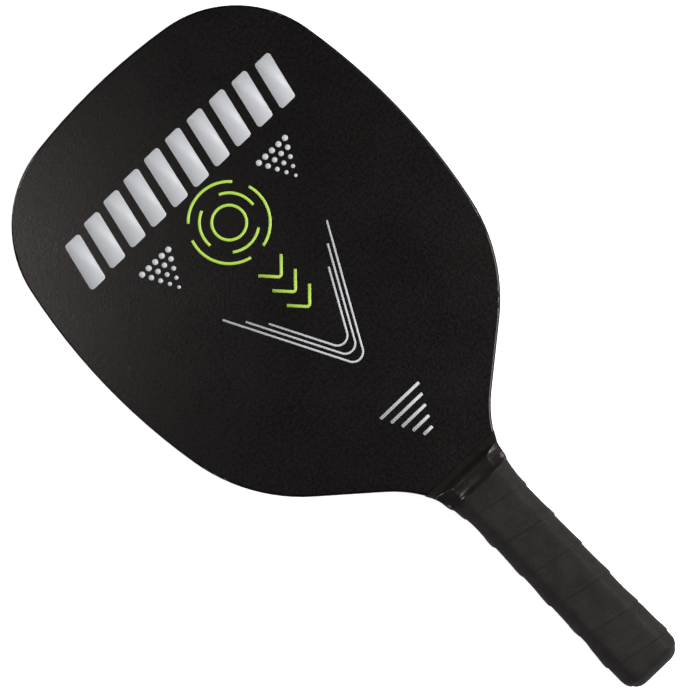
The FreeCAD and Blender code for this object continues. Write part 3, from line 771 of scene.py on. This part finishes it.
def make_grip_skin():
    """The cushioned tape's skin: one strip wound up the handle, each turn lapping the last."""
    outer_rows, inner_rows, gap = 40, 14, 0.015
    side = strip_sides()
    turn = turn_of(side) - FRONT_TURN
    start = np.maximum(seam_at(turn), GRIP_START)
    end = np.minimum(seam_at(turn) + STRIP_WIDTH, GRIP_TOP)
    sides = side[:, None]

    def under(y):
        """The surface that this turn lies on: the foam, or the turn below."""
        relief = strip_relief(sides - EDGES, y)
        laps = (y < seam_at(turn - 1)[:, None] + STRIP_WIDTH) & (turn[:, None] - 1 > FIRST_TURN)
        plain = skin_inside(y) - skin_outside(y)
        return skin_outside(y) + np.where(laps, np.maximum(relief, plain), plain) + gap

    def shape(rows):
        y = across_strip(rows, start, end)
        swell = grip_swell(sides, y)
        thickness = skin_outside(y) + strip_relief(sides, y) - under(y)
        share = edge_share(y - start[:, None], EDGE_RADIUS) * edge_share(end[:, None] - y, EDGE_RADIUS)
        return y, under(y) + swell + np.clip(thickness, SKIVED_EDGE, None) * share, under(y) + swell

    y_outer, outer, _ = shape(outer_rows)
    y_inner, _, inner = shape(inner_rows)
    return wound_strip(
        "grip_skin_wrap",
        wrapped(sides, y_outer, outer, SOFT_CORNERS),
        wrapped(sides, y_inner, inner, SOFT_CORNERS),
        MATERIALS["grip_leatherette"],
        replaced=["grip_skin"],
        slot="grip_leatherette",
    )


def make_grip_foam():
    """The cushion behind the skin: the same strip, butted edge to edge."""
    outer_rows, inner_rows = 14, 8
    set_back, gap, clear = 0.3, 0.5, 0.02
    narrowest, thinnest, edge_radius = 1.5, 0.15, 0.25
    step_from, step_to = CAP_END + 0.2, CAP_END + 2.2
    side = strip_sides()
    turn = turn_of(side) - FRONT_TURN
    start = np.maximum(seam_at(turn) + set_back, GRIP_START)
    end = np.minimum(seam_at(turn + 1) + set_back - gap, GRIP_TOP)
    kept = end - start > narrowest
    side, start, end = side[kept], start[kept], end[kept]
    sides = side[:, None]

    def under(y):
        """The surface that the foam lies on: the cap, and then the wood."""
        over_cap = 1 - smooth_step(y, step_from, step_to)
        return np.where(y < step_from, cap_offset(y), CAP_WALL * over_cap) + clear

    def shape(rows):
        y = across_strip(rows, start, end)
        swell = grip_swell(sides, y)
        thickness = np.clip(skin_inside(y) + swell - clear - under(y), thinnest, None)
        share = edge_share(y - start[:, None], edge_radius) * edge_share(end[:, None] - y, edge_radius)
        return y, under(y) + thickness * share, under(y)

    y_outer, outer, _ = shape(outer_rows)
    y_inner, _, inner = shape(inner_rows)
    return wound_strip(
        "grip_foam_wrap",
        wrapped(sides, y_outer, outer, SOFT_CORNERS),
        wrapped(sides, y_inner, inner, SHARP_CORNERS),
        MATERIALS["grip_foam"],
        replaced=["grip_foam_backing"],
        slot="grip_foam",
    )


# ---------------- collar tape

TAPE = 0.30  # height of the outside over what lies under it
TAPE_LAYER = 0.18
TAPE_LAP = 1.35
TAPE_END_SIDE = 12.0  # the upper end of the left side, a turn on
TAPE_EDGE_RADIUS = 0.12
CREST_ROUNDING, CORNER_ROUNDING, VALLEY_ROUNDING = 0.26, 0.12, 0.3
CREST_SET_BACK = 2 * CREST_ROUNDING
FRONT_SLOPE, SKIRT_SLOPE = 7.0, 0.55
FRONT_CLEAR = 0.1
WIDEST_BOW = 24
STEP_SHARE, STEP_LENGTH = 0.08, 0.7
SIDE_DROP_SHORT = 2
LEAST_BEVEL = 0.09
# The stretched tape sags from the crown on the handle's middle line down to its sides.
CROWN, CROWN_START, CROWN_REACH, CROWN_POWER = 0.85, 3.0, 9.5, 0.7
FITTING_ROUNDS = 4
# Heights, lengths and places of its creases, with the bends along them in radians.
CREASE, CREASE_PITCH, CREASE_START = 0.02, 3.1, 126
CREASE_BEND, CREASE_RIPPLE, CREASE_PHASE = 2.2, 0.9, 0.6
CREASES_IN, CREASES_OUT = (127.5, 129.5), (131.5, 133.5)
PUCKER, PUCKER_LENGTH, PUCKER_SEED = 0.03, 7.0, 11


def collar_height(x, y):
    """Half the thickness that the tape spans.

    It follows the scales' ramps and bowed fronts, and then the slope on which it comes down to the blade.
    """
    slope = RAMP_DROP / RAMP_LENGTH
    bow = FRONT_RADIUS - np.sqrt(FRONT_RADIUS ** 2 - np.clip(np.abs(x), 0, WIDEST_BOW) ** 2)
    front_at = RAMP_TOE - bow
    corner = WOOD_HALF_HEIGHT - slope * (front_at - RAMP_CREST)
    ramp = WOOD_HALF_HEIGHT - slope * soft_ramp(y - RAMP_CREST - CREST_SET_BACK, CREST_ROUNDING)
    front = corner + FRONT_SLOPE * (front_at + FRONT_CLEAR - y)
    skirt = BLADE_HALF + SKIRT_SLOPE * np.clip(COLLAR_END - y, 0, None)
    return skirt + soft_ramp(soft_least(ramp, front, CORNER_ROUNDING) - skirt, VALLEY_ROUNDING)


def collar_point(side, y, lift):
    """A point of the tape: stretched from the grip's end to the scales' crest, and down to the blade."""
    on_grip = FOAM + SKIN - FOAM_STRETCH - SKIN_STRETCH
    step = 1 - smooth_step(y, GRIP_TOP, GRIP_TOP + STEP_LENGTH)
    slide = 1 - np.clip((y - GRIP_TOP) / (RAMP_CREST - GRIP_TOP), 0, 1)
    above = on_grip * (STEP_SHARE * step + (1 - STEP_SHARE) * slide) + TAPE + lift
    beside = on_grip * (1 - smooth_step(y, GRIP_TOP, RAMP_TOE - SIDE_DROP_SHORT)) + TAPE + lift
    half_width = wood_half_width(y)
    x = np.zeros(np.broadcast(side, y).shape)
    for _ in range(FITTING_ROUNDS):
        height = collar_height(x, y)
        left = np.clip(1 - (WOOD_HALF_HEIGHT - height) / SCALE_BEVEL, LEAST_BEVEL, 1)
        growth = 0.5 * BEVEL_GROWTH * (above + beside)
        across = left * (SCALE_BEVEL + BEVEL_SPREAD * (half_width - WOOD_HALF_WIDTH)) + growth
        down = left * SCALE_BEVEL + growth
        sharpness = TAPE_CORNERS + (SOFT_CORNERS - TAPE_CORNERS) * slide
        x, z = octagon_point(side, half_width + beside, height + above, across, down, sharpness)
    outward = np.clip((np.abs(x) - CROWN_START) / CROWN_REACH, 0, 1)
    crown = CROWN * slide ** CROWN_POWER * outward ** 2
    return x, z * (1 - crown / (height + above))


def collar_wrinkles(side, y):
    """Small creases that run round the tape where it is pulled over the flare, and a faint pucker."""
    around = 2 * np.pi * turn_of(side)
    along = 2 * np.pi * (y - CREASE_START) / CREASE_PITCH
    bent = along + CREASE_BEND * np.sin(around + CREASE_PHASE)
    crease = np.sin(bent + CREASE_RIPPLE * np.sin(3 * around))
    fade = smooth_step(y, *CREASES_IN) * (1 - smooth_step(y, *CREASES_OUT))
    pucker = undulation(side, y, seed=PUCKER_SEED, length=PUCKER_LENGTH)
    return CREASE * crease * fade + PUCKER * pucker


def make_collar():
    """The finishing tape: wound a turn and a third, with its free end at the left side's upper edge."""
    outer_rows, inner_rows = 64, 40
    lap_from, lap_to = 0.985, 1.02
    grip_inset, grip_wander, grip_rate, grip_phase, grip_tilt = 0.15, 0.12, 4.3, 0.5, 0.25
    blade_inset, blade_wander, blade_rate = 0.25, 0.15, 2.1
    side = side_stations(TAPE_END_SIDE - EDGES * TAPE_LAP, TAPE_END_SIDE)
    turns_in = (side - side[0]) / EDGES
    climb = TAPE_LAYER * smooth_step(turns_in, lap_from, lap_to)
    wander = grip_wander * np.sin(grip_rate * turns_in + grip_phase)
    start = COLLAR_START + grip_inset + wander + grip_tilt * np.cos(2 * np.pi * turn_of(side))
    end = COLLAR_END - blade_inset - blade_wander * np.sin(blade_rate * turns_in)
    sides = side[:, None]

    def shape(rows):
        y = across_strip(rows, start, end)
        share = edge_share(y - start[:, None], TAPE_EDGE_RADIUS)
        share = share * edge_share(end[:, None] - y, TAPE_EDGE_RADIUS)
        base = climb[:, None] + collar_wrinkles(sides, y)
        return y, base + TAPE_LAYER * (share - 1), base - TAPE_LAYER

    def laid(y, offset):
        x, z = collar_point(sides, y, offset)
        return x, y, z

    y_outer, outer, _ = shape(outer_rows)
    y_inner, _, inner = shape(inner_rows)
    return wound_strip(
        "collar_tape_wrap",
        laid(y_outer, outer),
        laid(y_inner, inner),
        MATERIALS["vinyl_tape"],
        replaced=["collar_tape"],
        slot="vinyl_tape",
    )


# ---------------- print

INK_THICKNESS = 0.05
INK_SUNK = 0.012


def film(outlines, ribbons):
    """Points and faces of a thin ink film.

    It is made of closed outlines, and of ribbons given by their two sides and whether their ends meet.
    """
    points, faces = [], []
    levels = (BLADE_HALF - INK_SUNK, BLADE_HALF + INK_THICKNESS)

    def add_level(flat, z):
        first = len(points)
        points.extend((x, y, z) for x, y in flat)
        return first

    for outline in outlines:
        count = len(outline)
        bottom, top = (add_level(outline, z) for z in levels)
        faces.append(tuple(range(top, top + count)))
        faces.append(tuple(reversed(range(bottom, bottom + count))))
        for number in range(count):
            beside = (number + 1) % count
            faces.append((bottom + number, bottom + beside, top + beside, top + number))
    for left, right, closed in ribbons:
        count = len(left)
        low_left, low_right, top_left, top_right = (
            add_level(edge, z) for z in levels for edge in (left, right)
        )
        for number in range(count if closed else count - 1):
            beside = (number + 1) % count
            faces.append((top_right + number, top_right + beside, top_left + beside, top_left + number))
            faces.append((low_left + number, low_left + beside, low_right + beside, low_right + number))
            faces.append((top_left + number, top_left + beside, low_left + beside, low_left + number))
            faces.append((low_right + number, low_right + beside, top_right + beside, top_right + number))
        if not closed:
            end = count - 1
            faces.append((low_left, low_right, top_right, top_left))
            faces.append((top_left + end, top_right + end, low_right + end, low_left + end))
    return points, faces


def add_print(name, slot, outlines=(), ribbons=()):
    """One part of the print as a film of ink on the blade's face."""
    points, faces = film(outlines, ribbons)
    add_piece(name, points, faces, MATERIALS[slot], slot=slot)


def rounded_outline(corners, radius, steps=5):
    """A convex outline with each corner replaced by an arc."""
    outline = []
    count = len(corners)
    for number in range(count):
        here = np.array(corners[number])
        before, after = np.array(corners[number - 1]), np.array(corners[(number + 1) % count])
        back, ahead = before - here, after - here
        back, ahead = back / np.linalg.norm(back), ahead / np.linalg.norm(ahead)
        half = 0.5 * math.acos(float(back @ ahead))
        bisector = (back + ahead) / np.linalg.norm(back + ahead)
        centre = here + bisector * radius / math.sin(half)
        first = here + back * radius / math.tan(half) - centre
        last = here + ahead * radius / math.tan(half) - centre
        start, end = math.atan2(first[1], first[0]), math.atan2(last[1], last[0])
        sweep = (end - start + math.pi) % (2 * math.pi) - math.pi
        for step in range(steps + 1):
            angle = start + sweep * step / steps
            outline.append((centre[0] + radius * math.cos(angle), centre[1] + radius * math.sin(angle)))
    return outline


def disc(centre, radius, steps=20):
    """A round outline."""
    angles = [2 * math.pi * step / steps for step in range(steps)]
    return [(centre[0] + radius * math.cos(a), centre[1] + radius * math.sin(a)) for a in angles]


def arc_ribbon(centre, radius, width, start, end):
    """A band along an arc, from one angle in degrees to another."""
    fewest_steps, degrees_per_step = 6, 4
    steps = max(fewest_steps, int(abs(end - start) / degrees_per_step))
    closed = abs(end - start) >= 360
    angles = np.radians(np.linspace(start, end, steps + 1))
    angles = angles[:-1] if closed else angles
    inner, outer = (
        [(centre[0] + r * math.cos(a), centre[1] + r * math.sin(a)) for a in angles]
        for r in (radius - width / 2, radius + width / 2)
    )
    return inner, outer, closed


def chevron_ribbon(foot, spread, rise, width, bend):
    """A V that opens upwards from its foot, with a rounded turn at the bottom."""
    turn_points = 15
    lean = math.atan2(spread, rise)
    centre = (foot[0], foot[1] + bend)
    turn = np.linspace(math.pi + lean, 2 * math.pi - lean, turn_points)
    climb = rise - bend * (1 - math.sin(lean))
    out = climb * math.tan(lean)
    left, right = [], []
    for edge, reach in ((left, bend - width / 2), (right, bend + width / 2)):
        bow = [(centre[0] + reach * math.cos(a), centre[1] + reach * math.sin(a)) for a in turn]
        edge.append((bow[0][0] - out, bow[0][1] + climb))
        edge.extend(bow)
        edge.append((bow[-1][0] + out, bow[-1][1] + climb))
    return left, right, False


RINGS_BELOW_TOP = 93.0
HEAD_MIDDLE = high("front_face_ply")[1] - RINGS_BELOW_TOP
BAR_COUNT, BAR_PITCH, BAR_WIDTH, BAR_HEIGHT, BAR_SLANT = 10, 14.2, 9.6, 28.0, 5.5
BAR_ARCH, BAR_SHORTENING, BAR_ROUNDING = 520.0, 0.12, 1.6
BAR_TOP = HEAD_MIDDLE + 51.0


def bar_outlines():
    """A row of slanted bars along a shallow arch, a little shorter towards its ends."""
    outlines = []
    row_reach = BAR_COUNT * BAR_PITCH / 2
    for number in range(BAR_COUNT):
        from_middle = (number - (BAR_COUNT - 1) / 2) * BAR_PITCH
        top = BAR_TOP - from_middle ** 2 / (2 * BAR_ARCH)
        bottom = top - BAR_HEIGHT * (1 - BAR_SHORTENING * abs(from_middle) / row_reach)
        left, right, lean = from_middle - BAR_WIDTH / 2, from_middle + BAR_WIDTH / 2, BAR_SLANT / 2
        corners = [(left - lean, bottom), (right - lean, bottom), (right + lean, top), (left + lean, top)]
        outlines.append(rounded_outline(corners, BAR_ROUNDING))
    return outlines


DOT_ROWS, DOT_PITCH, DOT_ROW_PITCH = 5, 4.4, 4.2
DOTS_OUT, DOTS_UP = 30.5, 11.0
DOT_RADIUS, DOT_SHRINKING = 1.5, 0.16


def dot_outlines():
    """A patch of dots on each side of the rings, smaller towards the handle."""
    outlines = []
    for side in (-1, 1):
        for row in range(DOT_ROWS):
            for column in range(DOT_ROWS - row):
                out = DOTS_OUT + DOT_PITCH / 2 * row + DOT_PITCH * column
                place = (side * out, HEAD_MIDDLE + DOTS_UP - DOT_ROW_PITCH * row)
                outlines.append(disc(place, DOT_RADIUS - DOT_SHRINKING * row))
    return outlines


STRIPE_LENGTHS = (26, 21, 16, 11, 6)
STRIPES_DOWN, STRIPE_PITCH = 120, 5.0
STRIPE_HALF, STRIPE_ROUNDING = 0.8, 0.6


def stripe_outlines():
    """Short centred stripes above the neck, each shorter than the one above."""
    outlines = []
    for number, length in enumerate(STRIPE_LENGTHS):
        middle = HEAD_MIDDLE - STRIPES_DOWN - STRIPE_PITCH * number
        reach, bottom, top = length / 2, middle - STRIPE_HALF, middle + STRIPE_HALF
        corners = [(-reach, bottom), (reach, bottom), (reach, top), (-reach, top)]
        outlines.append(rounded_outline(corners, STRIPE_ROUNDING))
    return outlines


WING_REACHES = (60, 46, 32)
WING_SPREAD, WINGS_DOWN, WING_PITCH = 0.535, 92, 5.5
RING_WIDTH = 1.4
RINGS = (
    # radius, degrees that each arc covers, where the arcs start
    (20.0, 96, (42, 162, 282)),
    (14.5, 74, (113, 233, 353)),
    (8.5, 360, (0,)),
)
ARROW_COUNT, ARROWS_DOWN, ARROW_PITCH = 3, 36, 10


def make_print():
    """A plain sporty pattern: slanted bars, nested V lines, open rings with arrows, dots and stripes."""
    add_print("print_bars", "light_ink", outlines=bar_outlines())
    wings = [
        chevron_ribbon(
            (0, HEAD_MIDDLE - WINGS_DOWN + WING_PITCH * number),
            spread=WING_SPREAD * reach,
            rise=reach,
            width=1.0,
            bend=5.0,
        )
        for number, reach in enumerate(WING_REACHES)
    ]
    add_print("print_lines", "light_ink", ribbons=wings)

    rings = [
        arc_ribbon((0, HEAD_MIDDLE), radius, RING_WIDTH, start, start + covered)
        for radius, covered, starts in RINGS
        for start in starts
    ]
    arrows = [
        chevron_ribbon(
            (0, HEAD_MIDDLE - ARROWS_DOWN - ARROW_PITCH * number),
            spread=7.0,
            rise=7.5,
            width=1.5,
            bend=1.5,
        )
        for number in range(ARROW_COUNT)
    ]
    add_print("print_rings", "lime_ink", ribbons=rings + arrows)
    add_print("print_dots", "light_ink", outlines=dot_outlines())
    add_print("print_stripes", "light_ink", outlines=stripe_outlines())


# ---------------- studio

# The photograph's frame: its middle, the length of its sides and its turn in degrees.
VIEW_CENTRE = (-0.0004, 0.2165)
VIEW_SIZE = 0.3407
VIEW_TURN = -43.75
LENS = 150.0
SENSOR = 36.0
FLOOR_GAP = 0.00002
FLOOR_REACH = 8.0
FLOOR_GLOW, BACKDROP_GLOW = 0.9, 1.0
WHITE = (1, 1, 1, 1)
LIGHTS_AIM = (0.0, 0.2, 0.0)


def only_seen(tree, strength_socket, seen, lighting):
    """Give a glow one strength where the camera sees it and another where it lights the scene."""
    path = tree.nodes.new("ShaderNodeLightPath")
    choice = tree.nodes.new("ShaderNodeMapRange")
    choice.inputs["To Min"].default_value = lighting
    choice.inputs["To Max"].default_value = seen
    tree.links.new(path.outputs["Is Camera Ray"], choice.inputs["Value"])
    tree.links.new(choice.outputs["Result"], strength_socket)


def add_floor():
    """A plain pale floor whose glow, seen only by the camera, keeps it nearly white in the shadow."""
    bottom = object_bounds()[0].z - FLOOR_GAP
    signs = ((-1, -1), (1, -1), (1, 1), (-1, 1))
    corners = [(x * FLOOR_REACH, y * FLOOR_REACH, bottom) for x, y in signs]
    mesh = bpy.data.meshes.new("floor")
    mesh.from_pydata(corners, [], [(0, 1, 2, 3)])
    shader = Shader(
        "studio_floor",
        Base_Color=(0.9, 0.9, 0.9, 1),
        Roughness=0.9,
        Specular_IOR_Level=0.0,
        Emission_Color=WHITE,
    )
    only_seen(shader.tree, shader.surface.inputs["Emission Strength"], seen=FLOOR_GLOW, lighting=0.0)
    mesh.materials.append(shader.material)
    floor = bpy.data.objects.new("floor", mesh)
    bpy.context.scene.collection.objects.link(floor)


def add_camera():
    """The camera looks straight down on the face, turned so that the paddle lies on the diagonal."""
    data = bpy.data.cameras.new("camera")
    data.lens = LENS
    data.sensor_width = SENSOR
    data.clip_start, data.clip_end = 0.01, 50.0
    camera = bpy.data.objects.new("camera", data)
    distance = VIEW_SIZE * LENS / SENSOR
    camera.location = (*VIEW_CENTRE, BLADE_HALF * MM + distance)
    camera.rotation_euler = (0, 0, math.radians(VIEW_TURN))
    bpy.context.scene.collection.objects.link(camera)
    bpy.context.scene.camera = camera


LIGHTS = [
    # name, place, size of the square softbox, radiance
    ("head_softbox", (-0.20, 0.45, 0.50), 0.22, 2.25),
    ("collar_softbox", (-0.25, 0.49, 0.90), 0.12, 4.6),
    ("overhead_softbox", (0.75, -0.30, 1.00), 0.75, 7.7),
    ("handle_softbox", (0.40, -0.25, 0.80), 0.50, 1.5),
    ("right_softbox", (0.75, 0.30, 0.89), 0.50, 0.35),
    ("crown_softbox", (-0.15, 0.65, 0.80), 0.30, 0.4),
    ("left_softbox", (-1.17, 0.20, 0.25), 0.35, 2.4),
    ("low_right_softbox", (1.17, 0.20, 0.25), 0.35, 3.6),
    ("far_softbox", (-0.55, 1.25, 0.30), 0.35, 9.0),
]


def add_light(name, place, size, radiance):
    """A square softbox that faces the paddle."""
    data = bpy.data.lights.new(name, "AREA")
    data.shape = "SQUARE"
    data.size = size
    data.energy = radiance * math.pi * size ** 2
    light = bpy.data.objects.new(name, data)
    light.location = place
    light.rotation_euler = (Vector(LIGHTS_AIM) - Vector(place)).to_track_quat("-Z", "Y").to_euler()
    light.visible_camera = False
    bpy.context.scene.collection.objects.link(light)


def add_world():
    """A dark room behind a white backdrop."""
    world = bpy.data.worlds.new("room")
    world.use_nodes = True
    background = world.node_tree.nodes["Background"]
    background.inputs["Color"].default_value = WHITE
    only_seen(world.node_tree, background.inputs["Strength"], seen=BACKDROP_GLOW, lighting=0.0)
    bpy.context.scene.world = world


# ---------------- the scene

dress_nodes()
make_butt_cap()
grip_foam = make_grip_foam()
grip_skin = make_grip_skin()
collar = make_collar()
make_print()

add_floor()
add_camera()
for settings in LIGHTS:
    add_light(*settings)
add_world()
bpy.context.scene.view_settings.view_transform = "Standard"
